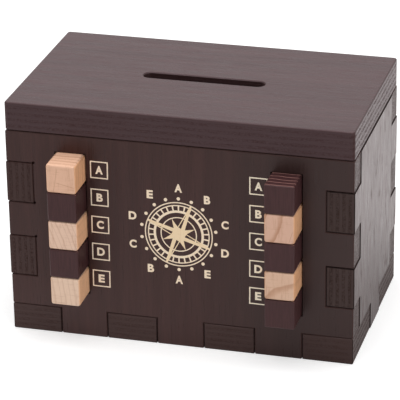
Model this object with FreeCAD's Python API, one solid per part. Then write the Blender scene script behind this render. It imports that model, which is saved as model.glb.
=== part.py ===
"""Wooden money box whose lift-off lid is locked by ten push bars.

X runs along the front, Y from front to back and Z up. The origin is the centre of the underside.
All sizes are in millimetres. The outside follows from what the box holds: the coin chamber sets the
width, the bar mechanism the depth, and the stack of bars the height.
"""
import FreeCAD, Part
import os

from FreeCAD import Vector

# Boards and glue
wall = 11.5             # plywood of the front, back, ends and bottom
lid_ply = 12.0          # plywood of the lid
partition_ply = 4.0     # plywood of the two partitions
comb_ply = 5.0          # plywood of the two lock combs
guide_ply = 6.0         # plywood of the two rear guides
glue_line = 0.1         # gap between two glued faces
arris = 0.35            # eased edges of the carcass panels and of the lid underneath
setback = 0.3           # how far front, back, bottom and lid stop short of the end panels' faces

# Finger joints
corner_tab = 13.5       # height of the top and bottom tabs of the front and back panels
middle_tab = 15.1       # height of their middle tab
front_tab = 19.8        # width of the tabs that the front and back panels reach down with
front_tab_count = 3
end_tab = 18.0          # width of the one tab that each end panel reaches down with

# Push bars
bar = 12.25             # side of the square section of knobs and slides
bar_count = 5           # bars in one column
bar_gap = 0.2           # running gap above and below each bar
bar_side_gap = 0.45     # running gap between a bar and the sides of its slot
slot_sill = 7.8         # height of the front panel below the bars' slot, inside the box
slot_head = 7.35        # height of the front panel above the bars' slot
knob_reach = 13.0       # how far a knob stands out of the front
knob_seat = 2.0         # length of a knob that stays in the slot when it is pulled out
knob_arris = 0.6        # eased edges of a knob
travel = 9.0            # push-in travel of a bar
slide_arris = 0.4       # eased long edges of a slide
tenon = 6.0             # side of the square tenon of a slide, glued in its knob
tenon_length = 8.0
bar_tail = 2.0          # length of a slide behind its rear guide, pulled out
bar_end_gap = 5.3       # room behind a slide that is pushed in

# Code pegs and lock combs
peg_radius = 2.5
peg_root = 8.0          # length of a peg inside its slide
peg_stop_gap = 0.3      # room between a peg and the front panel that stops it
peg_run_gap = 0.5       # room between a peg and a comb
peg_overhang = 1.3      # length of a peg beyond the comb
peg_end_gap = 2.05      # room between a peg and the end panel
comb_side_gap = 1.7     # room between a comb and the slides
comb_spine = 8.0        # solid strip between a comb's front and rear notches
comb_foot = 8.0         # length of a comb below its lowest notch's centre
comb_tenon = 14.0       # width of the tenon that hangs a comb in the lid
comb_tenon_depth = 6.0

# Inner boards
chamber_width = 62.1    # clear width of the coin chamber
groove = 3.0            # depth of the grooves that hold the partitions
guide_stile = 3.2       # strip of a rear guide between its window and the partition
guide_room = 7.7        # room between a comb and the rear guide
top_gap = 2.0           # how far the partitions and rear guides stop below the top of the walls

# Lid
lid_gap = 0.25          # seam under the lid
lid_corner = 1.5        # rounded plan corners of the lid
lid_round = 0.7         # rounded top edges of the lid
slot_length = 51.4      # coin slot, over its round ends
slot_width = 6.3
slot_rim = 0.4          # eased rim of the coin slot
batten_width = 6.0
batten_height = 6.0
batten_gap = 0.4        # room between a batten and the panels it sits between
batten_lead = 2.0       # chamfer that leads a batten into the box

# Places along X, from the centre outwards
partition_in = chamber_width / 2
partition_out = partition_in + partition_ply
window_in = partition_out + guide_stile
bar_in = window_in + bar_side_gap
column_x = bar_in + bar / 2
bar_out = bar_in + bar
window_out = bar_out + bar_side_gap
comb_in = bar_out + comb_side_gap
comb_out = comb_in + comb_ply
peg_tip = comb_out + peg_overhang
end_in = peg_tip + peg_end_gap
end_out = end_in + wall
face_out = end_out - setback

# Places along Y, from the front backwards
notch_depth = travel
comb_depth = 2 * notch_depth + comb_spine
peg_room = peg_stop_gap + 2 * peg_radius + peg_run_gap
tail_room = bar_tail + travel + bar_end_gap
inner_depth = peg_room + comb_depth + guide_room + guide_ply + tail_room
depth = inner_depth + 2 * wall
front_out = -depth / 2
front_in = front_out + wall
back_in = -front_in
back_out = -front_out
peg_front = front_in + peg_stop_gap + peg_radius
comb_front = peg_front + peg_radius + peg_run_gap
comb_back = comb_front + comb_depth
peg_rear = comb_back - notch_depth + peg_run_gap + peg_radius
guide_front = comb_back + guide_room
guide_back = guide_front + guide_ply
slide_end = guide_back + bar_tail
knob_front = front_out - knob_reach
knob_back = front_out + knob_seat

# Places along Z, from the underside up
bar_pitch = bar + bar_gap
window_low = wall + slot_sill
window_high = window_low + bar_count * bar_pitch + bar_gap
body_top = window_high + slot_head
lid_low = body_top + lid_gap
lid_high = lid_low + lid_ply
inner_top = body_top - top_gap
first_bar = window_low + bar_gap + bar / 2
bar_heights = [first_bar + place * bar_pitch for place in range(bar_count)]
comb_low = first_bar - comb_foot
finger = (body_top - wall - 2 * corner_tab - middle_tab) / 2
low_finger = wall + corner_tab
high_finger = low_finger + finger + middle_tab
finger_spans = [(low_finger, low_finger + finger), (high_finger, high_finger + finger)]
tab_spans = [
    (wall, low_finger),
    (low_finger + finger, high_finger),
    (high_finger + finger, body_top),
]
bottom_finger = (2 * end_out - front_tab_count * front_tab) / (front_tab_count + 1)
tab_starts = [
    -end_out + bottom_finger + place * (front_tab + bottom_finger) for place in range(front_tab_count)
]

tolerance = 1e-6
x_axis, y_axis, z_axis = range(3)
sides = {"left": -1, "right": 1}
letters = [chr(ord("a") + place) for place in range(bar_count)]


def block(x_span, y_span, z_span):
    """Box between two places on each axis, given in either order."""
    lows = [min(span) for span in (x_span, y_span, z_span)]
    sizes = [abs(span[1] - span[0]) for span in (x_span, y_span, z_span)]
    return Part.makeBox(*sizes, Vector(*lows))


def grown(x_span, y_span, z_span, room=glue_line):
    """Cutter for a piece in this box, larger all round by the gap that its joint needs."""
    spans = []
    for span in (x_span, y_span, z_span):
        spans.append((min(span) - room, max(span) + room))
    return block(*spans)


def mirrored_sides(shape):
    """The same piece for the other end of the box."""
    return shape.mirror(Vector(0, 0, 0), Vector(1, 0, 0))


def eased(shape, planes, size):
    """Chamfer each edge that lies in one of the given outer planes, an axis and a place on it."""
    edges = []
    for edge in shape.Edges:
        ends = [vertex.Point for vertex in edge.Vertexes]
        if any(all(abs(end[axis] - place) < tolerance for end in ends) for axis, place in planes):
            edges.append(edge)
    return shape.makeChamfer(size, edges)


def round_ended(length, width, height, middle):
    """Upright slot cutter along X with round ends, standing on its middle point."""
    radius = width / 2
    straight = length / 2 - radius
    corners = [Vector(-straight, -radius, 0), Vector(straight, -radius, 0)]
    far = [Vector(straight, radius, 0), Vector(-straight, radius, 0)]
    edges = [
        Part.LineSegment(corners[0], corners[1]).toShape(),
        Part.Arc(corners[1], Vector(length / 2, 0, 0), far[0]).toShape(),
        Part.LineSegment(far[0], far[1]).toShape(),
        Part.Arc(far[1], Vector(-length / 2, 0, 0), corners[0]).toShape(),
    ]
    tool = Part.Face(Part.Wire(edges)).extrude(Vector(0, 0, height))
    tool.translate(middle)
    return tool


def partition_spans(side):
    """Box of a partition, which stands in grooves of the front, back and bottom panels."""
    return (
        (side * partition_in, side * partition_out),
        (front_in - groove, back_in + groove),
        (wall - groove, inner_top),
    )


def make_front(with_bars):
    """Front panel, or the back panel as if it stood in front, without the bars' slots."""
    y_span = (front_out, front_in)
    cutters = []
    for side in sides.values():
        for span in finger_spans:
            cutters.append(grown((side * end_in, side * end_out), y_span, span))
    for start in [-end_out] + [tab + front_tab for tab in tab_starts]:
        cutters.append(grown((start, start + bottom_finger), y_span, (0, wall)))
    panel = block((-face_out, face_out), y_span, (0, body_top)).cut(cutters)
    outer = [(x_axis, -face_out), (x_axis, face_out), (y_axis, front_out), (z_axis, 0)]
    panel = eased(panel.removeSplitter(), outer, arris)
    openings = [grown(*partition_spans(side)) for side in sides.values()]
    if with_bars:
        for side in sides.values():
            window_x = (side * window_in, side * window_out)
            openings.append(block(window_x, (front_out - wall, front_in + wall), (window_low, window_high)))
    return panel.cut(openings)


def make_end():
    """Right end panel."""
    x_span = (end_in, end_out)
    cutters = []
    for y_span in ((front_out, front_in), (back_in, back_out)):
        for span in tab_spans:
            cutters.append(grown(x_span, y_span, span))
    for y_span in ((front_out, -end_tab / 2), (end_tab / 2, back_out)):
        cutters.append(grown(x_span, y_span, (0, wall)))
    panel = block(x_span, (front_out, back_out), (0, body_top)).cut(cutters)
    outer = [(x_axis, end_out), (y_axis, front_out), (y_axis, back_out), (z_axis, 0)]
    return eased(panel.removeSplitter(), outer, arris)


def make_bottom():
    """Bottom panel, with gaps for the tabs of the four walls and grooves for the partitions."""
    cutters = []
    for start in tab_starts:
        for y_span in ((front_out, front_in), (back_in, back_out)):
            cutters.append(grown((start, start + front_tab), y_span, (0, wall)))
    for side in sides.values():
        cutters.append(grown((side * end_in, side * end_out), (-end_tab / 2, end_tab / 2), (0, wall)))
    panel = block((-face_out, face_out), (front_out, back_out), (0, wall)).cut(cutters)
    sides_out = [(x_axis, -face_out), (x_axis, face_out)]
    outer = sides_out + [(y_axis, front_out), (y_axis, back_out), (z_axis, 0)]
    panel = eased(panel.removeSplitter(), outer, arris)
    return panel.cut([grown(*partition_spans(side)) for side in sides.values()])


def make_guide():
    """Right rear guide: a plate with a window that carries the tails of five slides."""
    plate = block(
        (partition_out + glue_line, end_in - glue_line),
        (guide_front, guide_back),
        (wall + glue_line, inner_top),
    )
    window = block(
        (window_in, window_out),
        (guide_front - guide_ply, guide_back + guide_ply),
        (window_low, window_high),
    )
    return plate.cut(window)


def comb_tenon_span():
    """Where the tenons of the combs sit along Y."""
    middle = (comb_front + comb_back) / 2
    return (middle - comb_tenon / 2, middle + comb_tenon / 2)


def make_lid():
    """Lid board with the coin slot and, underneath, a mortise for each comb."""
    board = block((-face_out, face_out), (front_out, back_out), (lid_low, lid_high))
    uprights = []
    for edge in board.Edges:
        ends = [vertex.Point for vertex in edge.Vertexes]
        if abs(ends[0].z - ends[1].z) > tolerance:
            uprights.append(edge)
    board = board.makeFillet(lid_corner, uprights)
    top_rim = [edge for edge in board.Edges if edge.BoundBox.ZMin > lid_high - tolerance]
    board = board.makeFillet(lid_round, top_rim)
    low_rim = [edge for edge in board.Edges if edge.BoundBox.ZMax < lid_low + tolerance]
    board = board.makeChamfer(arris, low_rim)
    board = board.cut(round_ended(slot_length, slot_width, lid_high, Vector(0, 0, lid_low / 2)))
    mouth = []
    for edge in board.Edges:
        middle = edge.BoundBox.Center
        near_slot = abs(middle.x) < slot_length and abs(middle.y) < slot_width
        if near_slot and edge.BoundBox.ZMin > lid_high - tolerance:
            mouth.append(edge)
    board = board.makeChamfer(slot_rim, mouth)
    mortises = []
    for side in sides.values():
        x_span = (side * comb_in, side * comb_out)
        mortises.append(grown(x_span, comb_tenon_span(), (lid_low - lid_ply, lid_low + comb_tenon_depth)))
    return board.cut(mortises)


def make_comb():
    """Right lock comb, hung from the lid, with a front and a rear notch at each bar's height."""
    x_span = (comb_in, comb_out)
    plate = block(x_span, (comb_front, comb_back), (comb_low, lid_low - glue_line))
    stub = block(x_span, comb_tenon_span(), (lid_low - comb_ply, lid_low + comb_tenon_depth - glue_line))
    cutters = []
    for height in bar_heights:
        for mouth in (comb_front, comb_back):
            notch = round_ended(2 * notch_depth, 2 * (peg_radius + peg_run_gap), comb_ply, Vector(0, 0, 0))
            notch.rotate(Vector(0, 0, 0), Vector(0, 0, 1), 90)
            notch.rotate(Vector(0, 0, 0), Vector(0, 1, 0), 90)
            notch.translate(Vector(comb_in, mouth, height))
            cutters.append(notch)
    return plate.fuse(stub).removeSplitter().cut(cutters)


def make_batten():
    """Front lid batten, with a chamfer that leads it into the box."""
    half = partition_in - batten_gap
    face = front_in + batten_gap
    top = lid_low - glue_line
    low = top - batten_height
    outline = [
        Vector(-half, face, top),
        Vector(-half, face + batten_width, top),
        Vector(-half, face + batten_width, low),
        Vector(-half, face + batten_lead, low),
        Vector(-half, face, low + batten_lead),
    ]
    profile = Part.Face(Part.makePolygon(outline + outline[:1]))
    return profile.extrude(Vector(2 * half, 0, 0))


def tenon_spans(x, z):
    """Box of the square tenon that joins a slide to its knob."""
    half = tenon / 2
    return (x - half, x + half), (knob_back - tenon_length, knob_back), (z - half, z + half)


def make_knob(x, z):
    """Knob of one bar, eased in front and along its sides, with a mortise for the slide's tenon."""
    y_span = (knob_front, knob_back - glue_line)
    body = block((x - bar / 2, x + bar / 2), y_span, (z - bar / 2, z + bar / 2))
    eases = []
    for edge in body.Edges:
        if edge.BoundBox.YMin < knob_front + tolerance:
            eases.append(edge)
    body = body.makeChamfer(knob_arris, eases)
    return body.cut(grown(*tenon_spans(x, z)))


def make_slide(side, x, z):
    """Slide of one bar: tenon in front, a peg in its front hole, the rear hole for another code."""
    y_span = (knob_back, slide_end)
    body = block((x - bar / 2, x + bar / 2), y_span, (z - bar / 2, z + bar / 2))
    long_edges = [edge for edge in body.Edges if edge.BoundBox.YLength > bar]
    body = body.makeChamfer(slide_arris, long_edges)
    holes = []
    for y in (peg_front, peg_rear):
        bottom = Vector(x + side * (bar / 2 - peg_root - glue_line), y, z)
        radius = peg_radius + glue_line
        holes.append(Part.makeCylinder(radius, peg_root + bar, bottom, Vector(side, 0, 0)))
    return body.fuse(block(*tenon_spans(x, z))).removeSplitter().cut(holes)


def make_peg(side, x, z):
    """Code peg, which stands out of a slide towards the end panel and passes the comb."""
    root = x + side * (bar / 2 - peg_root)
    length = abs(side * peg_tip - root)
    return Part.makeCylinder(peg_radius, length, Vector(root, peg_front, z), Vector(side, 0, 0))


def make_carcass():
    """Panels, partitions and rear guides, which stay put."""
    back = make_front(with_bars=False).mirror(Vector(0, 0, 0), Vector(0, 1, 0))
    nodes = {"front_panel": make_front(with_bars=True), "back_panel": back, "bottom_panel": make_bottom()}
    end = make_end()
    guide = make_guide()
    for name, side in sides.items():
        nodes[name + "_panel"] = end if side > 0 else mirrored_sides(end)
        nodes[name + "_guide"] = guide if side > 0 else mirrored_sides(guide)
        nodes[name + "_partition"] = block(*partition_spans(side))
    return nodes


def make_lid_group():
    """Lid board, battens and combs, which lift off together."""
    batten = make_batten()
    comb = make_comb()
    return {
        "lid_board": make_lid(),
        "front_batten": batten,
        "rear_batten": batten.mirror(Vector(0, 0, 0), Vector(0, 1, 0)),
        "left_comb": mirrored_sides(comb),
        "right_comb": comb,
    }


def make_bars():
    """Knob, slide and peg of every bar, lettered from the top of each column."""
    nodes = {}
    for name, side in sides.items():
        x = side * column_x
        for letter, z in zip(letters, reversed(bar_heights)):
            tag = "_" + name + "_" + letter
            nodes["knob" + tag] = make_knob(x, z)
            nodes["slide" + tag] = make_slide(side, x, z)
            nodes["peg" + tag] = make_peg(side, x, z)
    return nodes


def main():
    """Write every piece to its own file."""
    os.makedirs("parts", exist_ok=True)
    nodes = {**make_carcass(), **make_lid_group(), **make_bars()}
    for name, shape in nodes.items():
        shape.exportStep(os.path.join("parts", name + ".step"))
        print(name, "solids", len(shape.Solids), "valid", shape.isValid(), "volume", round(shape.Volume, 1))
    print("outside", 2 * end_out, depth, lid_high, "columns at", column_x, "bars at", bar_heights)


main()
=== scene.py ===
"""Looks of a dark-stained wooden money box with two columns of lettered push bars."""
import logging
import math
from dataclasses import dataclass, field
from enum import Enum
from functools import cached_property
from typing import Any, Iterable, Self

import bmesh
import bpy
from mathutils import Color, Matrix, Vector


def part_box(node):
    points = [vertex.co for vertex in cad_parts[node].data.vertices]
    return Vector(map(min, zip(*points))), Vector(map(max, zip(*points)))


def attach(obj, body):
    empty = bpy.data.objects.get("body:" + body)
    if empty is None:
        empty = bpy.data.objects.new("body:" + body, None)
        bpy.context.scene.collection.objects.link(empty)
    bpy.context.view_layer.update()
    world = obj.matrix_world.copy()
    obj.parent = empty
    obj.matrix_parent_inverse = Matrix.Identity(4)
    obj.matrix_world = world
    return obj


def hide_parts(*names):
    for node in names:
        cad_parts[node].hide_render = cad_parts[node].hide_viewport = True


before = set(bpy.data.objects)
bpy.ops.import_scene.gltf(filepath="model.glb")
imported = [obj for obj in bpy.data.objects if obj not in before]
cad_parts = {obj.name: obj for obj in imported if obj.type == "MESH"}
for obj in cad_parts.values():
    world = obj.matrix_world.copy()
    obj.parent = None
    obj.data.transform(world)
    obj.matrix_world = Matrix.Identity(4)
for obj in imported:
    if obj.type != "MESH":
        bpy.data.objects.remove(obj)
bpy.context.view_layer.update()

Colour = tuple[float, float, float, float]
Point = tuple[float, float, float]
Span = tuple[float, float]
Shape = bmesh.types.BMesh
Node = bpy.types.Node
Tree = bpy.types.NodeTree
Material = bpy.types.Material

MM = 0.001
LOG = logging.getLogger("money_box")
WHITE: Colour = (1.0, 1.0, 1.0, 1.0)
VECTOR = "NodeSocketVector"
NUMBER = "NodeSocketFloat"
# A Mix node names its sockets alike for every type, so its colour sockets are found by their places.
COLOUR_LOW, COLOUR_HIGH, COLOUR_RESULT = 6, 7, 2
# How squarely a normal looks along a board's thickness, from a cut edge to a face.
FACE_REACH: Span = (0.80, 0.95)
# Least part of a normal along an axis for a flat face that looks along it.
SQUARE_ON = 0.99


def srgb(red: int, green: int, blue: int) -> Colour:
    """Turn a display colour of 0 to 255 into the linear colour that shaders use."""
    linear = Color((red / 255, green / 255, blue / 255)).from_srgb_to_scene_linear()
    return (*linear, 1.0)


def clock(reach: float, angle: float) -> Span:
    """Point at a reach from the centre, at an angle clockwise from straight up."""
    return reach * math.sin(angle), reach * math.cos(angle)


class Axis(Enum):
    """A row axis, with its index in a vector."""

    X = 0
    Y = 1
    Z = 2


class Named(Enum):
    """Options whose names are part of node names."""

    @property
    def word(self) -> str:
        """Name as the nodes spell it."""
        return self.name.lower()


class Side(Named):
    """A column of bars, with the sign of its X."""

    LEFT = -1
    RIGHT = 1


class Letter(Named):
    """Index letters from the top bar of a column down."""

    A = 0
    B = 1
    C = 2
    D = 3
    E = 4

    @property
    def breadth(self) -> float:
        """Width of the printed capital as a share of its height."""
        return {"A": 0.87, "B": 0.74, "C": 0.84, "D": 0.91, "E": 0.73}[self.name]


class Wood(Enum):
    """What a knob is cut from, with the record's slot for it."""

    PINE = "pine_knob"
    STAINED = "stained_knob"


@dataclass(frozen=True)
class Noise:
    """How fine and how broken up a noise is."""

    scale: float
    detail: float
    roughness: float = 0.55


def fill(node: Node, inputs: dict[Any, Any]) -> None:
    """Link inputs of a node to values, or set them to constants.

    Args:
        node: node to fill in.
        inputs: values or constants, by the name or place of the input.
    """
    for key, value in inputs.items():
        if isinstance(value, Value):
            node.id_data.links.new(value.socket, node.inputs[key])
        else:
            node.inputs[key].default_value = value


def lay(tree: Tree, kind: str, inputs: dict[Any, Any] | None = None, **settings: Any) -> Node:
    """Lay a shader node.

    Args:
        tree: node tree that it goes into.
        kind: node type, without the start that all shader nodes share.
        inputs: values or constants, by the name or place of the input.
        settings: properties to set on it.
    Returns:
        The new node.
    """
    node = tree.nodes.new(f"ShaderNode{kind}")
    for name, setting in settings.items():
        setattr(node, name, setting)
    fill(node, inputs or {})
    return node


class Value:
    """A number, vector or colour in a node tree; what is worked out from it becomes new nodes there."""

    def __init__(self, socket: bpy.types.NodeSocket) -> None:
        """Keep the output socket that carries the value."""
        self.socket = socket

    def then(self, kind: str, output: Any, inputs: dict[Any, Any], **settings: Any) -> Self:
        """Output of a new node in the same tree."""
        return Value(lay(self.socket.id_data, kind, inputs, **settings).outputs[output])

    def math(self, operation: str, *others: Any) -> Self:
        """Result of a math operation on this and other numbers."""
        return self.then("Math", 0, dict(enumerate((self, *others))), operation=operation)

    def __add__(self, other: Any) -> Self:
        """Sum of two numbers."""
        return self.math("ADD", other)

    def __mul__(self, other: Any) -> Self:
        """Product of two numbers."""
        return self.math("MULTIPLY", other)

    def __sub__(self, other: Any) -> Self:
        """This number less another."""
        return self.math("SUBTRACT", other)

    def __rsub__(self, other: float) -> Self:
        """A constant less this number."""
        return self.then("Math", 0, {0: other, 1: self}, operation="SUBTRACT")

    def __abs__(self) -> Self:
        """This number without its sign."""
        return self.math("ABSOLUTE")

    def off_middle(self) -> Self:
        """Distance of this number from the middle between the whole numbers around it."""
        return abs(self.math("FRACT") - 0.5)

    def smooth(self, reach: Span) -> Self:
        """Smooth step from 0 at the start of a reach to 1 at its end."""
        inputs = {"Value": self, "From Min": reach[0], "From Max": reach[1]}
        return self.then("MapRange", "Result", inputs, interpolation_type="SMOOTHSTEP")

    def spread(self, low: float, high: float) -> Self:
        """Stretch what goes from 0 to 1 over the range from low to high."""
        return self.then("MapRange", "Result", {"Value": self, "To Min": low, "To Max": high})

    def sway(self, reach: float) -> Self:
        """Stretch what goes from 0 to 1 over an equal reach to both sides of 0."""
        return self.spread(-reach, reach)

    def mix(self, low: Any, high: Any) -> Self:
        """Colour that is low where this is 0 and high where this is 1."""
        inputs = {"Factor": self, COLOUR_LOW: low, COLOUR_HIGH: high}
        return self.then("Mix", COLOUR_RESULT, inputs, data_type="RGBA")

    def vector(self, operation: str, *others: Any, output: str = "Vector") -> Self:
        """Result of a vector operation on this and other vectors."""
        return self.then("VectorMath", output, dict(enumerate((self, *others))), operation=operation)

    def drawn(self, along: Axis, scale: float) -> Self:
        """This place scaled along one axis, which draws out what it carries if the scale is under 1."""
        return self.vector("MULTIPLY", [scale if axis is along else 1.0 for axis in Axis])

    def part(self, axis: Axis) -> Self:
        """One coordinate of this vector."""
        return self.then("SeparateXYZ", axis.value, {0: self})

    def noise(self, kind: Noise) -> Self:
        """Noise of 0 to 1 at this place."""
        inputs = {"Vector": self, "Scale": kind.scale, "Detail": kind.detail, "Roughness": kind.roughness}
        return self.then("TexNoise", 0, inputs)


@dataclass
class Effects:
    """Effects that several finishes share, each a node group that is built at its first use."""

    streaks: Noise = Noise(1.9, 4.0, 0.65)
    broad_figure: Noise = Noise(0.22, 2.0)
    flecks: Noise = Noise(4.2, 2.0, 0.5)
    pore_reach: Span = (0.60, 0.72)
    ply_wander: Noise = Noise(0.10, 2.0)
    ply_sway: float = 0.28
    glue_reach: Span = (0.36, 0.48)
    end_grain: Noise = Noise(1.5, 3.0, 0.7)
    end_reach: Span = (0.36, 0.66)
    flat_reach: Span = (0.80, 0.98)
    handling: Noise = Noise(0.35, 3.0)
    least_edge: float = 0.35

    @staticmethod
    def start(name: str, inputs: dict[str, str], outputs: Iterable[str]) -> tuple[list[Value], Node]:
        """Open a node group.

        Args:
            name: group name.
            inputs: input names with their socket types.
            outputs: names of its number outputs.
        Returns:
            Its input values in their order, and its output node.
        """
        tree = bpy.data.node_groups.new(name, "ShaderNodeTree")
        for label, kind in inputs.items():
            tree.interface.new_socket(label, in_out="INPUT", socket_type=kind)
        for label in outputs:
            tree.interface.new_socket(label, in_out="OUTPUT", socket_type=NUMBER)
        source = tree.nodes.new("NodeGroupInput")
        return [Value(source.outputs[label]) for label in inputs], tree.nodes.new("NodeGroupOutput")

    @cached_property
    def fibre(self) -> Tree:
        """Wood fibre: fine streaks, broad figure and short dark pores along the drawn axis.

        Returns:
            The node group.
        """
        (place,), sink = self.start("wood_fibre", {"Vector": VECTOR}, ("Fibre", "Figure", "Pores"))
        fill(sink, {
            "Fibre": place.noise(self.streaks),
            "Figure": place.noise(self.broad_figure),
            "Pores": place.noise(self.flecks).smooth(self.pore_reach),
        })
        return sink.id_data

    @cached_property
    def plies(self) -> Tree:
        """Plywood edge: alternate cross plies, the glue lines between plies and broken end grain.

        Returns:
            The node group.
        """
        inputs = {"Depth": NUMBER, "Ply": NUMBER, "Vector": VECTOR}
        (depth, ply, place), sink = self.start("ply_edge", inputs, ("Cross", "Glue", "Ends"))
        layers = depth.math("DIVIDE", ply) + place.noise(self.ply_wander).sway(self.ply_sway)
        fill(sink, {
            "Cross": layers.math("FLOOR").math("FLOORED_MODULO", 2.0),
            "Glue": layers.off_middle().smooth(self.glue_reach),
            "Ends": place.noise(self.end_grain).smooth(self.end_reach),
        })
        return sink.id_data

    @cached_property
    def arris(self) -> Tree:
        """Eased edges: where a face points between the axes, broken up by noise; the finishes paint light and
        shade there.

        Returns:
            The node group.
        """
        (normal, place), sink = self.start("eased_edge", {"Normal": VECTOR, "Vector": VECTOR}, ("Edge",))
        along = [abs(normal.part(axis)) for axis in Axis]
        most = along[0].math("MAXIMUM", along[1]).math("MAXIMUM", along[2])
        turned = 1 - most.smooth(self.flat_reach)
        fill(sink, {"Edge": turned * place.noise(self.handling).spread(self.least_edge, 1.0)})
        return sink.id_data


EFFECTS = Effects()


@dataclass(frozen=True)
class Board:
    """A plywood board: its node, the axis across it and the axis of its face grain."""

    node: str
    across: Axis
    grain: Axis

    @property
    def faces(self) -> Span:
        """Where its two faces lie along the axis across it, in millimetres."""
        low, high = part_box(self.node)
        return low[self.across.value] / MM, high[self.across.value] / MM


class Paint:
    """Start of a material: its shader, coordinates in millimetres and face normal."""

    def __init__(self, name: str) -> None:
        """Make the material and the nodes that every finish needs.

        Args:
            name: material name.
        """
        self.material = bpy.data.materials.new(name)
        self.material.use_nodes = True
        self.tree = self.material.node_tree
        place = Value(lay(self.tree, "TexCoord").outputs["Object"])
        self.place = place.vector("MULTIPLY", [1 / MM for _ in Axis])
        self.normal = Value(lay(self.tree, "NewGeometry").outputs["True Normal"])

    def group(self, tree: Tree, **inputs: Any) -> list[Value]:
        """What a node group puts out, in its order."""
        node = lay(self.tree, "Group", inputs, node_tree=tree)
        return [Value(socket) for socket in node.outputs]

    def fibre(self, grain: Axis, draw: float) -> list[Value]:
        """Fibre, figure and pores of wood, drawn out along its grain."""
        return self.group(EFFECTS.fibre, Vector=self.place.drawn(grain, draw))

    def plies(self, board: Board, ply: float) -> list[Value]:
        """Cross plies, glue lines and end grain of a board with plies of this thickness."""
        depth = self.place.part(board.across) - board.faces[0]
        return self.group(EFFECTS.plies, Depth=depth, Ply=ply, Vector=self.place)

    def square_on(self, axis: Axis) -> Value:
        """How squarely the surface looks along an axis, either way."""
        return abs(self.normal.part(axis))

    def coat(
        self, colour: Value, rough: Value, height: Value, relief: Span,
        sheen: float = 0.5, tint: Colour = WHITE,
    ) -> Material:
        """Give the shader its colour, roughness, relief and reflection.

        Args:
            colour, rough: colour and roughness over the surface.
            height: height of 0 to 1 over the surface.
            relief: share of the relief's effect, and its full height in metres.
            sheen, tint: level and colour of what the surface reflects square on.
        Returns:
            The finished material.
        """
        bump = {"Strength": relief[0], "Distance": relief[1], "Height": height}
        fill(self.tree.nodes["Principled BSDF"], {
            "Base Color": colour,
            "Roughness": rough,
            "Normal": height.then("Bump", 0, bump),
            "Specular IOR Level": sheen,
            "Specular Tint": tint,
        })
        return self.material


@dataclass(frozen=True)
class StainedPlywood:
    """Dark stain and satin lacquer on plywood, with its plies showing on the edges, and painted light and
    shade on its eased edges.
    """

    veneer: Colour = srgb(50, 29, 26)
    veneer_pale: Colour = srgb(62, 39, 36)
    grain_draw: float = 0.045
    streak_reach: Span = (0.12, 0.42)
    pore: Colour = srgb(39, 22, 20)
    pore_share: float = 0.4
    drift: Colour = srgb(46, 34, 32)
    drift_share: float = 0.0
    drift_reach: Span = (0.0, 50.0)
    ply: Colour = srgb(55, 37, 34)
    cross_ply: Colour = srgb(49, 32, 29)
    ply_count: int = 9
    fleck_share: float = 0.2
    front_plies: float = 1.0
    glue: Colour = srgb(44, 28, 25)
    glue_share: float = 0.5
    # Paler colour of the free upper eased edges: a painted highlight.
    free_edge: Colour = srgb(58, 37, 33)
    # Colour of the eased edges along seams: paler than the face as painted light in the groove; panels that
    # set it near black paint shade there.
    seam: Colour = srgb(70, 48, 45)
    seam_share: float = 0.5
    upward_reach: Span = (0.3, 0.6)
    face_rough: float = 0.36
    ply_rough: float = 0.47
    cross_rough: float = 0.95
    unevenness: float = 0.3
    patches: Noise = Noise(0.22, 4.0, 0.65)
    patch_draw: float = 0.35
    patch_reach: Span = (0.53, 0.77)
    patchiness: float = 0.0
    relief: Span = (0.3, 0.05 * MM)
    sheen: float = 0.26
    sheen_tint: Colour = (1.0, 0.88, 0.88, 1.0)

    def material(self, board: Board) -> Material:
        """Make the finish of one board.

        Args:
            board: board it goes on.
        Returns:
            The material.
        """
        paint = Paint(f"stained_{board.node}")
        fibre, figure, pores = paint.fibre(board.grain, self.grain_draw)
        face = (fibre * figure).smooth(self.streak_reach).mix(self.veneer, self.veneer_pale)
        face = (pores * self.pore_share).mix(face, self.pore)
        drifted = paint.place.part(Axis.X).smooth(self.drift_reach)
        face = (drifted * self.drift_share).mix(face, self.drift)
        low, high = board.faces
        cross, glue, ends = paint.plies(board, (high - low) / self.ply_count)
        flecked = 1 - cross.math("MAXIMUM", ends)
        cross = cross * ends + flecked * self.fleck_share
        cross = cross * paint.square_on(Axis.Y).spread(1.0, self.front_plies)
        side = cross.mix(self.ply, self.cross_ply)
        side = (glue * self.glue_share).mix(side, self.glue)
        on_face = paint.square_on(board.across).smooth(FACE_REACH)
        arris = paint.group(EFFECTS.arris, Normal=paint.normal, Vector=paint.place)
        eased = arris[0] * self.seam_share
        # Only the upper edges of a lying board are free, and their paler colour is a painted highlight; the
        # other eased edges lie along a seam, where their colour paints the groove: paler than the face as
        # painted light, near black as painted shade on panels that set it so.
        lying = float(board.across is Axis.Z)
        free = paint.normal.part(Axis.Z).smooth(self.upward_reach) * lying
        colour = eased.mix(on_face.mix(side, face), free.mix(self.seam, self.free_edge))
        patches = paint.place.drawn(board.grain, self.patch_draw).noise(self.patches)
        uneven = fibre.sway(self.unevenness) + patches.smooth(self.patch_reach) * self.patchiness
        on_edge = cross.spread(self.ply_rough, self.cross_rough)
        rough = on_face * self.face_rough + (1 - on_face) * on_edge + uneven + eased * (1 - free)
        rough = rough.math("MINIMUM", 1.0)
        height = (fibre - pores) * on_face - glue
        return paint.coat(colour, rough, height, self.relief, self.sheen, self.sheen_tint)


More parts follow.
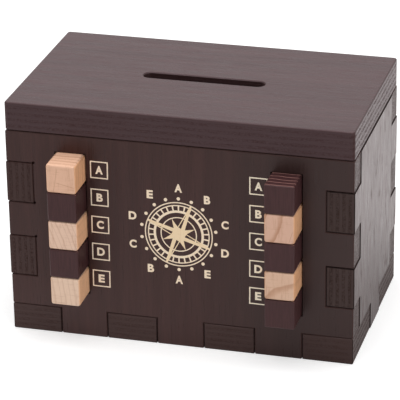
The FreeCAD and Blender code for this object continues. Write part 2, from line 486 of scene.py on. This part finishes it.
@dataclass(frozen=True)
class BarePlywood:
    """Unfinished birch plywood of the inner boards."""

    veneer: Colour = srgb(214, 178, 134)
    veneer_dark: Colour = srgb(188, 148, 104)
    cross_ply: Colour = srgb(150, 106, 68)
    glue: Colour = srgb(96, 62, 38)
    ply_size: float = 1.1
    grain_draw: float = 0.05
    pore_share: float = 0.35
    glue_share: float = 0.6
    rough: Span = (0.52, 0.72)
    relief: Span = (0.2, 0.05 * MM)

    def material(self, board: Board) -> Material:
        """Make the finish of one inner board.

        Args:
            board: board it goes on.
        Returns:
            The material.
        """
        paint = Paint(f"bare_{board.node}")
        fibre, _, pores = paint.fibre(board.grain, self.grain_draw)
        face = fibre.mix(self.veneer_dark, self.veneer)
        face = (pores * self.pore_share).mix(face, self.cross_ply)
        cross, glue, _ = paint.plies(board, self.ply_size)
        side = cross.mix(self.veneer, self.cross_ply)
        side = (glue * self.glue_share).mix(side, self.glue)
        colour = paint.square_on(board.across).smooth(FACE_REACH).mix(side, face)
        return paint.coat(colour, fibre.spread(*self.rough), fibre, self.relief)


@dataclass(frozen=True)
class Beech:
    """Planed beech of the slides and pegs, with its short dark flecks."""

    pale: Colour = srgb(216, 172, 130)
    dark: Colour = srgb(190, 140, 98)
    fleck: Colour = srgb(140, 92, 58)
    fleck_share: float = 0.7
    grain_draw: float = 0.08
    rough: Span = (0.45, 0.65)
    relief: Span = (0.2, 0.04 * MM)

    def material(self, name: str, grain: Axis) -> Material:
        """Make the finish for pieces whose grain follows one axis.

        Args:
            name: material name.
            grain: axis of the grain.
        Returns:
            The material.
        """
        paint = Paint(name)
        fibre, figure, pores = paint.fibre(grain, self.grain_draw)
        colour = (pores * self.fleck_share).mix(figure.mix(self.dark, self.pale), self.fleck)
        return paint.coat(colour, fibre.spread(*self.rough), fibre, self.relief)


@dataclass(frozen=True)
class Check:
    """A thin straight check on a knob's front: its middle in millimetres, turn in degrees and half length."""

    across: float
    up: float
    turn: float
    half_length: float


@dataclass(frozen=True)
class Cut:
    """How a knob was cut from its tree: where the heart lies and runs, its rings, tones and front checks; its
    side colour is partly the side grain's tone and partly painted light.
    """

    heart: Point
    along: Axis
    ring_width: float
    contrast: float
    tone: Colour
    # Colour of the faces that look along X: partly the side grain's tone, partly painted light that lifts
    # those dim faces.
    side: Colour = srgb(238, 180, 136)
    checks: tuple[Check, ...] = ()


@dataclass(frozen=True)
class Marks:
    """Thin resin marks: the axis they follow, how far they are drawn out, their noise and strength."""

    along: Axis
    draw: float
    noise: Noise
    reach: Span
    share: float


@dataclass(frozen=True)
class Pine:
    """Clear pine of the light knobs, with growth rings about the tree's heart."""

    late: Colour = srgb(174, 122, 90)
    resin: Colour = srgb(168, 116, 84)
    heart_draw: float = 0.04
    ring_noise: Noise = Noise(0.10, 2.0)
    ring_sway: float = 0.25
    season_scale: float = 0.5
    season_sway: float = 0.6
    late_reach: Span = (0.66, 0.94)
    late_end: Span = (0.94, 1.0)
    grain_draw: float = 0.10
    least_figure: float = 0.5
    side_reach: Span = (0.5, 0.9)
    side_rings: float = 0.4
    marks: tuple[Marks, ...] = (
        Marks(Axis.Z, 0.12, Noise(1.4, 3.0, 0.6), (0.5, 0.75), 0.3),
        Marks(Axis.X, 0.10, Noise(1.6, 3.0, 0.6), (0.53, 0.75), 0.24),
    )
    check_width: float = 0.32
    check_share: float = 0.52
    check_taper: float = 0.7
    front_reach: Span = (-0.5, -0.9)
    rough: Span = (0.46, 0.62)
    relief: Span = (0.15, 0.06 * MM)
    sheen: float = 0.3

    def material(self, name: str, middle: Vector, cut: Cut) -> Material:
        """Make the finish of one knob.

        Args:
            name: material name.
            middle: middle of the knob, in millimetres.
            cut: how it lay in the tree.
        Returns:
            The material.
        """
        paint = Paint(name)
        late = self.late_wood(paint, middle, cut)
        fibre, figure, _ = paint.fibre(cut.along, self.grain_draw)
        to_side = paint.square_on(Axis.X).smooth(self.side_reach)
        rings = late * figure.spread(self.least_figure, 1.0) * to_side.spread(1.0, self.side_rings)
        # Faces that look along X take the cut's side colour, which is partly painted light.
        colour = (rings * cut.contrast).mix(to_side.mix(cut.tone, cut.side), self.late)
        for marks in self.marks:
            found = paint.place.drawn(marks.along, marks.draw).noise(marks.noise).smooth(marks.reach)
            colour = (found * marks.share).mix(colour, self.resin)
        for check in cut.checks:
            colour = self.checked(paint, middle, check).mix(colour, self.resin)
        return paint.coat(colour, fibre.spread(*self.rough), fibre - late, self.relief, self.sheen)

    def late_wood(self, paint: Paint, middle: Vector, cut: Cut) -> Value:
        """Mask of the dark late wood of each year.

        Args:
            paint: start of the material.
            middle: middle of the knob, in millimetres.
            cut: how it lay in the tree.
        Returns:
            Up to 1 at the end of a year, 0 in its early wood.
        """
        from_heart = paint.place.vector("SUBTRACT", middle + Vector(cut.heart))
        radius = from_heart.drawn(cut.along, self.heart_draw).vector("LENGTH", output="Value")
        years = radius.math("DIVIDE", cut.ring_width)
        noise = {"W": years, "Scale": self.season_scale, "Detail": 0.0}
        seasons = years.then("TexNoise", 0, noise, noise_dimensions="1D")
        sway = paint.place.noise(self.ring_noise).sway(self.ring_sway) + seasons.sway(self.season_sway)
        ring = (years + sway).math("FRACT")
        return ring.smooth(self.late_reach) * (1 - ring.smooth(self.late_end))

    def checked(self, paint: Paint, middle: Vector, check: Check) -> Value:
        """Mask of one check.

        Args:
            paint: start of the material.
            middle: middle of the knob, in millimetres.
            check: where it lies.
        Returns:
            Above 0 on the check, 0 beside it.
        """
        spot = {
            "Vector": paint.place,
            "Location": middle + Vector((check.across, 0, check.up)),
            "Rotation": (0, -math.radians(check.turn), 0),
        }
        turned = paint.place.then("Mapping", 0, spot, vector_type="TEXTURE")
        beside = abs(turned.part(Axis.Z)).smooth((0.0, self.check_width))
        line = (self.check_share - beside).math("MAXIMUM", 0.0)
        ends = (check.half_length, self.check_taper * check.half_length)
        in_front = paint.normal.part(Axis.Y).smooth(self.front_reach)
        return line * abs(turned.part(Axis.X)).smooth(ends) * in_front


@dataclass(frozen=True)
class StainedKnobWood:
    """Stained plywood of the dark knobs, whose glue lines stay pale on the cut edges, in full only where the
    edges face up: painted light on the tops.
    """

    face: Colour = srgb(55, 30, 31)
    face_pale: Colour = srgb(68, 40, 41)
    line: Colour = srgb(142, 104, 97)
    grain_draw: float = 0.06
    streak_reach: Span = (0.3, 0.7)
    ply_size: float = 2.95
    ply_noise: Noise = Noise(0.12, 2.0)
    ply_sway: float = 0.3
    line_reach: Span = (0.0315, 0.105)
    edge_reach: Span = (0.10, 0.45)
    upward_reach: Span = (0.2, 0.8)
    side_lines: float = 0.12
    rough: Span = (0.38, 0.52)
    relief: Span = (0.25, 0.05 * MM)
    sheen: float = 0.22

    def material(self) -> Material:
        """Make the finish, with the plies parallel to the front.

        Returns:
            The material.
        """
        paint = Paint("stained_knob")
        fibre, _, _ = paint.fibre(Axis.Z, self.grain_draw)
        colour = fibre.smooth(self.streak_reach).mix(self.face, self.face_pale)
        plies = paint.place.part(Axis.Y).math("DIVIDE", self.ply_size)
        plies = plies + paint.place.noise(self.ply_noise).sway(self.ply_sway)
        beside = plies.off_middle().smooth(self.line_reach)
        on_front = paint.square_on(Axis.Y).smooth(self.edge_reach)
        # Upward faces show the pale lines in full and the others faintly: painted light on the tops.
        upward = paint.normal.part(Axis.Z).smooth(self.upward_reach)
        lines = (1 - beside) * (1 - on_front) * upward.spread(self.side_lines, 1.0)
        colour = lines.mix(colour, self.line)
        return paint.coat(colour, fibre.spread(*self.rough), fibre - lines, self.relief, self.sheen)


@dataclass(frozen=True)
class PrintInk:
    """Print on the front, pale or dark, and thin enough for the grain to break it up."""

    name: str
    ink: Colour
    thin: Colour
    sheen: float = 0.5
    grain_draw: float = 0.10
    worn_reach: Span = (0.55, 0.75)
    rough: Span = (0.48, 0.64)
    relief: Span = (0.1, 0.02 * MM)

    def material(self) -> Material:
        """Make the finish of the print.

        Returns:
            The material.
        """
        paint = Paint(self.name)
        fibre, _, _ = paint.fibre(Axis.Z, self.grain_draw)
        colour = fibre.smooth(self.worn_reach).mix(self.ink, self.thin)
        return paint.coat(colour, fibre.spread(*self.rough), fibre, self.relief, self.sheen)


def dress(node: str, material: Material) -> None:
    """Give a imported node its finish.

    Args:
        node: node name.
        material: finish.
    """
    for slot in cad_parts[node].material_slots:
        slot.material = material
    LOG.info("dressed %s with %s", node, material.name)


def put(name: str, data: bpy.types.ID) -> bpy.types.Object:
    """Put an object into the scene.

    Args:
        name: object name.
        data: its mesh, camera or light.
    Returns:
        The object.
    """
    thing = bpy.data.objects.new(name, data)
    bpy.context.scene.collection.objects.link(thing)
    return thing


def meshed(name: str, shape: Shape, material: Material) -> bpy.types.Object:
    """Put a finished shape into the scene.

    Args:
        name: object name.
        shape: its mesh, in place.
        material: finish.
    Returns:
        The object.
    """
    mesh = bpy.data.meshes.new(name)
    shape.to_mesh(mesh)
    shape.free()
    mesh.materials.append(material)
    return put(name, mesh)


def finished(name: str, shape: Shape, material: Material, body: str) -> bpy.types.Object:
    """Turn a finished shape into a piece that rides on a body.

    Args:
        name: piece name.
        shape: its mesh, in place.
        material: finish.
        body: body it rides on.
    Returns:
        The object.
    """
    piece = meshed(name, shape, material)
    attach(piece, body)
    LOG.info("made %s on %s with %d faces", name, body, len(piece.data.polygons))
    return piece


@dataclass
class Carcass:
    """The five finger-jointed panels and the inner boards that stay put."""

    panels: dict[Board, StainedPlywood] = field(default_factory=lambda: {
        Board("front_panel", Axis.Y, Axis.Z): StainedPlywood(ply_rough=0.42, drift_share=0.65),
        Board("back_panel", Axis.Y, Axis.Z): StainedPlywood(ply_rough=0.42),
        Board("left_panel", Axis.X, Axis.Z): StainedPlywood(),
        # The right and bottom panels colour their seams near black: painted shade in the recessed joints.
        Board("right_panel", Axis.X, Axis.Z): StainedPlywood(
            ply=srgb(54, 40, 37), cross_ply=srgb(47, 34, 31), seam=srgb(12, 6, 6), seam_share=0.95,
            patchiness=0.25,
        ),
        Board("bottom_panel", Axis.Z, Axis.X): StainedPlywood(
            ply=srgb(56, 39, 36), cross_ply=srgb(54, 37, 34), front_plies=0.7, glue=srgb(49, 32, 29),
            seam=srgb(16, 8, 8), seam_share=0.7,
        ),
    })
    inner: tuple[Board, ...] = (
        Board("left_partition", Axis.X, Axis.Y),
        Board("right_partition", Axis.X, Axis.Y),
        Board("left_guide", Axis.Y, Axis.Z),
        Board("right_guide", Axis.Y, Axis.Z),
    )

    def build(self) -> None:
        """Dress the panels and inner boards."""
        for board, finish in self.panels.items():
            dress(board.node, finish.material(board))
        for board in self.inner:
            dress(board.node, BarePlywood().material(board))


@dataclass
class Lid:
    """The slotted lid board with its battens and lock combs."""

    top: Board = Board("lid_board", Axis.Z, Axis.X)
    finish: StainedPlywood = StainedPlywood(
        veneer=srgb(54, 28, 29), veneer_pale=srgb(66, 38, 39), face_rough=0.32,
        ply=srgb(53, 34, 33), cross_ply=srgb(52, 32, 31), ply_rough=0.4, front_plies=0.75,
        glue=srgb(49, 30, 29), sheen=0.37, sheen_tint=(1.0, 0.84, 0.93, 1.0),
    )
    fittings: tuple[Board, ...] = (
        Board("front_batten", Axis.Z, Axis.X),
        Board("rear_batten", Axis.Z, Axis.X),
        Board("left_comb", Axis.X, Axis.Z),
        Board("right_comb", Axis.X, Axis.Z),
    )

    def build(self) -> None:
        """Dress the lid and what hangs from it."""
        dress(self.top.node, self.finish.material(self.top))
        for board in self.fittings:
            dress(board.node, BarePlywood().material(board))


@dataclass
class PushBars:
    """Two columns of bars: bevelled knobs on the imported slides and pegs."""

    ease: dict[Wood, float] = field(default_factory=lambda: {Wood.PINE: 0.95 * MM, Wood.STAINED: 0.6 * MM})
    ease_segments: int = 4
    mortise: float = 6.2 * MM
    mortise_corners: int = 4
    mortise_depth: float = 8.1 * MM
    # The left knobs' paler side colours are painted light on their dim right faces.
    cuts: dict[str, Cut] = field(default_factory=lambda: {
        "left_a": Cut(
            heart=(4.0, 303.4, 0.0), along=Axis.X, ring_width=2.6, contrast=1.0,
            tone=srgb(229, 184, 156), side=srgb(247, 187, 142),
            checks=(Check(-2.25, -0.5, 80.0, 6.0), Check(1.75, -2.35, -12.0, 4.4)),
        ),
        "left_c": Cut(
            heart=(-110.0, 0.0, -42.0), along=Axis.Y, ring_width=1.9, contrast=0.4,
            tone=srgb(232, 197, 174), side=srgb(251, 195, 152),
        ),
        "left_e": Cut(
            heart=(-140.0, 0.0, -14.0), along=Axis.Y, ring_width=2.2, contrast=0.32,
            tone=srgb(234, 202, 178), side=srgb(251, 197, 155),
        ),
        "right_b": Cut(
            heart=(-51.5, 0.0, 18.0), along=Axis.Y, ring_width=5.5, contrast=0.9,
            tone=srgb(218, 176, 153), checks=(Check(4.75, -3.0, 73.0, 3.0),),
        ),
        "right_d": Cut(
            heart=(18.0, 0.0, -40.0), along=Axis.Y, ring_width=7.2, contrast=0.75, tone=srgb(220, 182, 156)
        ),
    })

    @staticmethod
    def wood(side: Side, letter: Letter) -> Wood:
        """Wood of a knob: the two columns alternate, starting light on the left."""
        even = letter.value % 2 == 0
        return Wood.PINE if even == (side is Side.LEFT) else Wood.STAINED

    @staticmethod
    def rear(shape: Shape) -> list[bmesh.types.BMFace]:
        """Faces of a knob that look straight back."""
        return [face for face in shape.faces if face.normal.y > SQUARE_ON]

    def knob_shape(self, node: str, ease: float) -> Shape:
        """Model a knob in the space of its node, eased in front and mortised behind.

        Args:
            node: node that it stands for.
            ease: radius of its eased edges.
        Returns:
            The mesh, in place.
        """
        low, high = (Vector(corner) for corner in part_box(node))
        middle = (low + high) / 2
        size = high - low
        shape = bmesh.new()
        block = Matrix.Translation(middle) @ Matrix.Diagonal((*size, 1))
        bmesh.ops.create_cube(shape, size=1.0, matrix=block)
        behind = self.rear(shape)
        sharp = [edge for edge in shape.edges if not any(face in behind for face in edge.link_faces)]
        bmesh.ops.bevel(
            shape, geom=sharp, offset=ease, offset_type="OFFSET", affect="EDGES",
            segments=self.ease_segments, profile=0.5, material=-1, clamp_overlap=True,
        )
        bmesh.ops.delete(shape, geom=self.rear(shape), context="FACES_ONLY")
        turn = Matrix.Translation((middle.x, high.y, middle.z)) @ Matrix.Rotation(math.radians(90), 4, "X")
        turn = turn @ Matrix.Rotation(math.radians(45), 4, "Z")
        ring = bmesh.ops.create_circle(
            shape, segments=self.mortise_corners, radius=self.mortise / math.sqrt(2), matrix=turn,
            cap_ends=False,
        )["verts"]
        rims = [edge for edge in shape.edges if edge.is_boundary or edge.is_wire]
        bmesh.ops.bridge_loops(shape, edges=rims)
        mouth = [edge for edge in shape.edges if all(vertex in ring for vertex in edge.verts)]
        bore = bmesh.ops.extrude_edge_only(shape, edges=mouth)["geom"]
        corners = [item for item in bore if isinstance(item, bmesh.types.BMVert)]
        bmesh.ops.translate(shape, verts=corners, vec=(0, -self.mortise_depth, 0))
        floor = [item for item in bore if isinstance(item, bmesh.types.BMEdge)]
        bmesh.ops.contextual_create(shape, geom=floor)
        bmesh.ops.recalc_face_normals(shape, faces=shape.faces)
        for face in shape.faces:
            face.smooth = face.calc_area() < ease * size.y
        return shape

    def build(self) -> None:
        """Make the knobs and dress the slides and pegs."""
        slide = Beech().material("beech_slide", Axis.Y)
        peg = Beech().material("beech_peg", Axis.X)
        stained = StainedKnobWood().material()
        for side in Side:
            for letter in Letter:
                tag = f"{side.word}_{letter.word}"
                dress(f"slide_{tag}", slide)
                dress(f"peg_{tag}", peg)
                wood = self.wood(side, letter)
                finish = self.pine(tag) if wood is Wood.PINE else stained
                shape = self.knob_shape(f"knob_{tag}", self.ease[wood])
                knob = finished(f"knob_block_{tag}", shape, finish, f"bar_{tag}")
                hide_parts(f"knob_{tag}")

    def pine(self, tag: str) -> Material:
        """Pine for one knob, each cut from another place in the tree."""
        low, high = (Vector(corner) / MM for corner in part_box(f"knob_{tag}"))
        return Pine().material(f"pine_{tag}", (low + high) / 2, self.cuts[tag])


@dataclass
class FrontPrint:
    """Gold rose, framed index letters and three dark dots on the front panel, with sizes in millimetres."""

    lift: float = 0.03
    raise_star: float = 0.02
    weld: float = 0.01
    tilt: float = math.radians(-0.5)
    centre: Span = (0.12, 50.4)
    segments: int = 240
    outer_ring: Span = (13.74, 14.22)
    second_ring: Span = (12.45, 12.92)
    tick_ring: Span = (10.55, 12.45)
    solid_ring: Span = (9.53, 10.55)
    thin_ring: Span = (7.17, 7.62)
    tick_count: int = 30
    tick_share: float = 0.25
    long_point: float = 13.8
    blunt: float = 0.4
    short_point: float = 7.3
    valley: float = 3.3
    valley_turn: float = math.radians(29)
    star_turn: float = math.radians(22)
    sliver: tuple[Span, ...] = ((2.7, 0.03), (9.5, 0.42), (2.85, 1.23))
    dot_count: int = 18
    dot_segments: int = 20
    dot_radius: float = 0.72
    dot_ring: float = 15.7
    letter_ring: float = 20.3
    letter_height: float = 3.6
    letter_weight: float = 0.042
    letter_curve: int = 6
    letter_weld: float = 1e-5
    label_x: float = 33.08
    label_pitch: float = 12.1
    label_size: float = 7.55
    label_line: float = 0.7
    label_rise: float = 0.5
    burn_radius: float = 0.55
    burn_x: float = -60.9
    burn_heights: tuple[float, ...] = (25.0, 7.3, -7.8)
    rose_ink: PrintInk = PrintInk("rose_ink", srgb(249, 227, 199), srgb(232, 204, 168))
    star_ink: PrintInk = PrintInk("star_ink", srgb(246, 219, 180), srgb(232, 201, 158))
    # The right labels' paler ink is painted light: a lit copy of the left labels' ink, against the knobs'
    # shade.
    label_inks: dict[Side, PrintInk] = field(default_factory=lambda: {
        Side.LEFT: PrintInk("label_ink_left", srgb(250, 229, 204), srgb(238, 211, 178)),
        Side.RIGHT: PrintInk("label_ink_right", srgb(255, 241, 216), srgb(251, 230, 197)),
    })
    burnt_wood: PrintInk = PrintInk("burnt_dot", srgb(24, 14, 13), srgb(34, 20, 18), sheen=0.0)

    @staticmethod
    def thicken(shape: Shape, height: float) -> None:
        """Give flat work in the drawing plane its thickness, towards the viewer.

        Args:
            shape: flat mesh.
            height: thickness of the ink.
        """
        grown = bmesh.ops.extrude_face_region(shape, geom=shape.faces[:], use_keep_orig=True)["geom"]
        top = [item for item in grown if isinstance(item, bmesh.types.BMVert)]
        bmesh.ops.translate(shape, verts=top, vec=(0, 0, height))
        bmesh.ops.recalc_face_normals(shape, faces=shape.faces)
        for face in shape.faces:
            face.smooth = False

    def ring(self, shape: Shape, radii: Span) -> list[bmesh.types.BMFace]:
        """Flat ring round the origin.

        Args:
            shape: mesh that it goes into.
            radii: inner and outer radius.
        Returns:
            Its faces.
        """
        edges = []
        for radius in radii:
            made = bmesh.ops.create_circle(shape, segments=self.segments, radius=radius, cap_ends=False)
            loop = set(made["verts"])
            edges += [edge for edge in shape.edges if set(edge.verts) <= loop]
        return bmesh.ops.bridge_loops(shape, edges=edges)["faces"]

    def make_rings(self) -> Shape:
        """Rings of the rose, with the dark squares left out of the tick ring.

        Returns:
            Flat mesh of them.
        """
        shape = bmesh.new()
        for radii in (self.outer_ring, self.second_ring, self.solid_ring, self.thin_ring):
            self.ring(shape, radii)
        ticks = self.ring(shape, self.tick_ring)
        step = math.tau / self.tick_count
        half_tick = step * self.tick_share / 2
        squares = []
        for face in ticks:
            middle = face.calc_center_median()
            angle = math.atan2(middle.x, middle.y) % step
            if half_tick < angle < step - half_tick:
                squares.append(face)
        bmesh.ops.delete(shape, geom=squares, context="FACES")
        bmesh.ops.remove_doubles(shape, verts=shape.verts, dist=self.weld)
        return shape

    def make_star(self) -> Shape:
        """Eight-pointed star, with a dark sliver in one half of each long point.

        Returns:
            Flat mesh of it.
        """
        shape = bmesh.new()

        def spot(reach: float, angle: float) -> bmesh.types.BMVert:
            """Corner at a reach from the heart."""
            return shape.verts.new((*clock(reach, angle), 0))

        heart = spot(0.0, 0.0)
        quarter = math.tau / 4
        blunt_turn = math.atan2(self.blunt, self.long_point)
        for count in range(4):
            axis = self.star_turn + count * quarter
            tip = spot(self.long_point, axis)
            left_tip = spot(self.long_point, axis - blunt_turn)
            right_tip = spot(self.long_point, axis + blunt_turn)
            before = spot(self.valley, axis - self.valley_turn)
            after = spot(self.valley, axis + self.valley_turn)
            beyond = spot(self.valley, axis + quarter - self.valley_turn)
            short = spot(self.short_point, axis + quarter / 2)
            inner, outer, wide = (
                spot(math.hypot(*corner), axis - math.atan2(corner[1], corner[0])) for corner in self.sliver
            )
            shape.faces.new((heart, tip, right_tip, after))
            shape.faces.new((heart, after, short, beyond))
            shape.faces.new((heart, tip, outer, inner))
            shape.faces.new((tip, left_tip, outer))
            shape.faces.new((left_tip, before, wide, outer))
            shape.faces.new((before, heart, inner, wide))
        bmesh.ops.remove_doubles(shape, verts=shape.verts, dist=self.weld)
        return shape

    def disc(self, shape: Shape, radius: float, spot: Span = (0.0, 0.0)) -> None:
        """Add a flat disc to a mesh."""
        where = Matrix.Translation((*spot, 0))
        bmesh.ops.create_circle(shape, segments=self.dot_segments, radius=radius, matrix=where, cap_ends=True)

    def make_dots(self) -> Shape:
        """Ring of round dots.

        Returns:
            Flat mesh of them.
        """
        shape = bmesh.new()
        for place in range(self.dot_count):
            self.disc(shape, self.dot_radius, clock(self.dot_ring, place * math.tau / self.dot_count))
        return shape

    def make_frame(self) -> Shape:
        """Square frame of one index letter.

        Returns:
            Flat mesh of it.
        """
        shape = bmesh.new()
        bmesh.ops.create_grid(shape, x_segments=1, y_segments=1, size=self.label_size / 2)
        middle = shape.faces[:]
        bmesh.ops.inset_individual(shape, faces=middle, thickness=self.label_line)
        bmesh.ops.delete(shape, geom=middle, context="FACES")
        return shape

    def make_letter(self, letter: Letter) -> Shape:
        """Bold capital, centred on the origin.

        Args:
            letter: which capital.
        Returns:
            Flat mesh of it.
        """
        curve = bpy.data.curves.new("capital", "FONT")
        curve.body = letter.name
        curve.align_x = "CENTER"
        curve.offset = self.letter_weight
        curve.resolution_u = self.letter_curve
        curve.fill_mode = "FRONT"
        holder = bpy.data.objects.new("capital", curve)
        mesh = bpy.data.meshes.new_from_object(holder)
        shape = bmesh.new()
        shape.from_mesh(mesh)
        bpy.data.objects.remove(holder)
        bpy.data.meshes.remove(mesh)
        bmesh.ops.remove_doubles(shape, verts=shape.verts, dist=self.letter_weld)
        across, up, _ = zip(*(vertex.co for vertex in shape.verts))
        middle = Vector(((min(across) + max(across)) / 2, (min(up) + max(up)) / 2, 0))
        bmesh.ops.translate(shape, verts=shape.verts, vec=-middle)
        tall = self.letter_height / (max(up) - min(up))
        wide = self.letter_height * letter.breadth / (max(across) - min(across))
        bmesh.ops.scale(shape, verts=shape.verts, vec=(wide, tall, 1.0))
        return shape

    def place(
        self, name: str, shape: Shape, ink: Material, spot: Span = (0.0, 0.0), raised: float = 0.0
    ) -> None:
        """Thicken flat work, stand it on the panel and hand it over.

        Args:
            name: piece name.
            shape: flat mesh in the drawing plane.
            ink: finish.
            spot: where it goes, across and up from the rose's centre.
            raised: what its ink is thicker than the rest.
        """
        self.thicken(shape, self.lift + raised)
        across, up = self.centre
        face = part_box("front_panel")[0][1] / MM
        centre = Matrix.Translation((across, face, up)) @ Matrix.Rotation(-self.tilt, 4, "Y")
        upright = Matrix.Translation((spot[0], 0, spot[1])) @ Matrix.Rotation(math.radians(90), 4, "X")
        bmesh.ops.transform(shape, matrix=Matrix.Scale(MM, 4) @ centre @ upright, verts=shape.verts)
        finished(name, shape, ink, "box")

    def build(self) -> None:
        """Print the rose and the index labels, and put down the dark dots."""
        self.print_rose()
        dot_ink = self.burnt_wood.material()
        for count, up in enumerate(self.burn_heights, start=1):
            dot = bmesh.new()
            self.disc(dot, self.burn_radius)
            self.place(f"burnt_dot_{count}", dot, dot_ink, (self.burn_x, up))
        for side, label_ink in self.label_inks.items():
            ink = label_ink.material()
            for letter in Letter:
                tag = f"{side.word}_{letter.word}"
                rows_up = Letter.C.value - letter.value
                spot = (side.value * self.label_x, self.label_rise + rows_up * self.label_pitch)
                self.place(f"label_frame_{tag}", self.make_frame(), ink, spot)
                self.place(f"label_letter_{tag}", self.make_letter(letter), ink, spot)

    def print_rose(self) -> None:
        """Print the compass rose and two rounds of letters about it."""
        ink = self.rose_ink.material()
        self.place("rose_rings", self.make_rings(), ink)
        self.place("rose_star", self.make_star(), self.star_ink.material(), raised=self.raise_star)
        self.place("rose_dots", self.make_dots(), ink)
        count = 2 * len(Letter)
        for place in range(count):
            letter = Letter(place % len(Letter))
            turn = "first" if place < len(Letter) else "second"
            spot = clock(self.letter_ring, place * math.tau / count)
            self.place(f"rose_{turn}_{letter.word}", self.make_letter(letter), ink, spot)


@dataclass
class Studio:
    """Camera, white floor and soft light."""

    camera_place: Point = (259.9 * MM, -938.04 * MM, 479.37 * MM)
    yaw: float = 0.272862
    pitch: float = 0.417772
    roll: float = -0.016851
    lens: float = 229.1
    floor_size: float = 6.0
    floor_colour: Colour = (0.8, 0.8, 0.8, 1.0)
    floor_rough: float = 0.9
    floor_lift: float = 0.4
    # The floor's glow in reflections is painted: this tint colours it, and the reaches below make it dim near
    # the box as a painted contact shadow, brighter behind, and glowing before the box's left half.
    bounce: Colour = (1.0, 0.925, 0.925, 1.0)
    floor_sheen: float = 0.89
    contact_reach: Span = (-35 * MM, 105 * MM)
    bright_from: Span = (-300 * MM, 60 * MM)
    front_share: float = 0.34
    near_glow: float = 0.8
    near_start: Span = (-1 * MM, 0.0)
    near_end: Span = (15 * MM, 62 * MM)
    near_fade: Span = (-60 * MM, 80 * MM)
    world_level: float = 0.5
    sheen_surroundings: float = 1.0
    softbox_power: float = 10.5
    softbox_size: float = 1.2
    softbox_place: Point = (0.05, -0.06, 1.0)
    softbox_aim: Point = (0.0, 0.0, 0.05)

    def build(self) -> None:
        """Set the stage."""
        self.make_camera()
        self.make_floor()
        self.make_light()
        bpy.context.scene.view_settings.view_transform = "Standard"

    def make_camera(self) -> None:
        """Camera at the photograph's place."""
        data = bpy.data.cameras.new("photo_camera")
        data.lens = self.lens
        camera = put("photo_camera", data)
        level = Matrix.Rotation(self.yaw, 4, "Z") @ Matrix.Rotation(math.radians(90), 4, "X")
        tilted = level @ Matrix.Rotation(-self.pitch, 4, "X") @ Matrix.Rotation(self.roll, 4, "Z")
        camera.matrix_world = Matrix.Translation(self.camera_place) @ tilted
        bpy.context.scene.camera = camera

    @staticmethod
    def rays(tree: Tree) -> tuple[Value, Value]:
        """Whether a ray comes straight from the camera, and whether it was mirrored or let through.

        Args:
            tree: node tree that asks.
        Returns:
            Both answers, 0 or 1.
        """
        path = lay(tree, "LightPath").outputs
        mirrored = Value(path["Is Glossy Ray"]).math("MAXIMUM", Value(path["Is Transmission Ray"]))
        return Value(path["Is Camera Ray"]), mirrored

    def open_floor(self, tree: Tree) -> Value:
        """How bright glossy wood sees the floor's painted glow: less close to the box as a painted contact
        shadow, with a glow before its left half.

        Args:
            tree: node tree of the floor's material.
        Returns:
            Share of the full brightness.
        """
        place = Value(lay(tree, "TexCoord").outputs["Object"])
        gaps = []
        for axis in (Axis.X, Axis.Y):
            beyond = abs(place.part(axis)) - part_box("bottom_panel")[1][axis.value]
            gaps.append(beyond.math("MAXIMUM", 0.0).math("POWER", 2.0))
        away = (gaps[0] + gaps[1]).math("SQRT").smooth(self.contact_reach)
        depth = place.part(Axis.Y)
        behind = depth.smooth(self.bright_from).spread(self.front_share, 1.0)
        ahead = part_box("front_panel")[0][1] - depth
        near = ahead.smooth(self.near_start) - ahead.smooth(self.near_end)
        glow = place.part(Axis.X).smooth(self.near_fade).spread(self.near_glow, 0.0)
        return away * behind + near * glow

    def make_floor(self) -> None:
        """White floor that keeps the box's shadow, and whose glow, seen only in reflections, is a painted
        reflection.
        """
        material = bpy.data.materials.new("floor_white")
        material.use_nodes = True
        seen, mirrored = self.rays(material.node_tree)
        fill(material.node_tree.nodes["Principled BSDF"], {
            "Base Color": self.floor_colour,
            "Roughness": self.floor_rough,
            "Specular IOR Level": 0.0,
            "Emission Color": seen.mix(self.bounce, WHITE),
            "Emission Strength": seen * self.floor_lift
            + mirrored * (self.open_floor(material.node_tree) * self.floor_sheen),
        })
        shape = bmesh.new()
        bmesh.ops.create_grid(shape, x_segments=1, y_segments=1, size=self.floor_size / 2)
        floor = meshed("floor", shape, material)

    def make_light(self) -> None:
        """White surroundings and one large softbox above, in front and to the right."""
        world = bpy.data.worlds.new("white_surroundings")
        world.use_nodes = True
        bpy.context.scene.world = world
        seen, mirrored = self.rays(world.node_tree)
        level = mirrored.spread(self.world_level, self.sheen_surroundings) + seen * (1.0 - self.world_level)
        fill(world.node_tree.nodes["Background"], {"Color": WHITE, "Strength": level})
        data = bpy.data.lights.new("softbox", "AREA")
        data.shape = "SQUARE"
        data.size = self.softbox_size
        data.energy = self.softbox_power
        lamp = put("softbox", data)
        lamp.location = self.softbox_place
        aim = Vector(self.softbox_aim) - Vector(self.softbox_place)
        lamp.rotation_euler = aim.to_track_quat("-Z", "Y").to_euler()


def main() -> None:
    """Build the money box and its studio."""
    logging.basicConfig(level=logging.INFO, format="%(name)s: %(message)s")
    for assembly in (Carcass(), Lid(), PushBars(), FrontPrint(), Studio()):
        assembly.build()


if __name__ == "__main__":
    main()
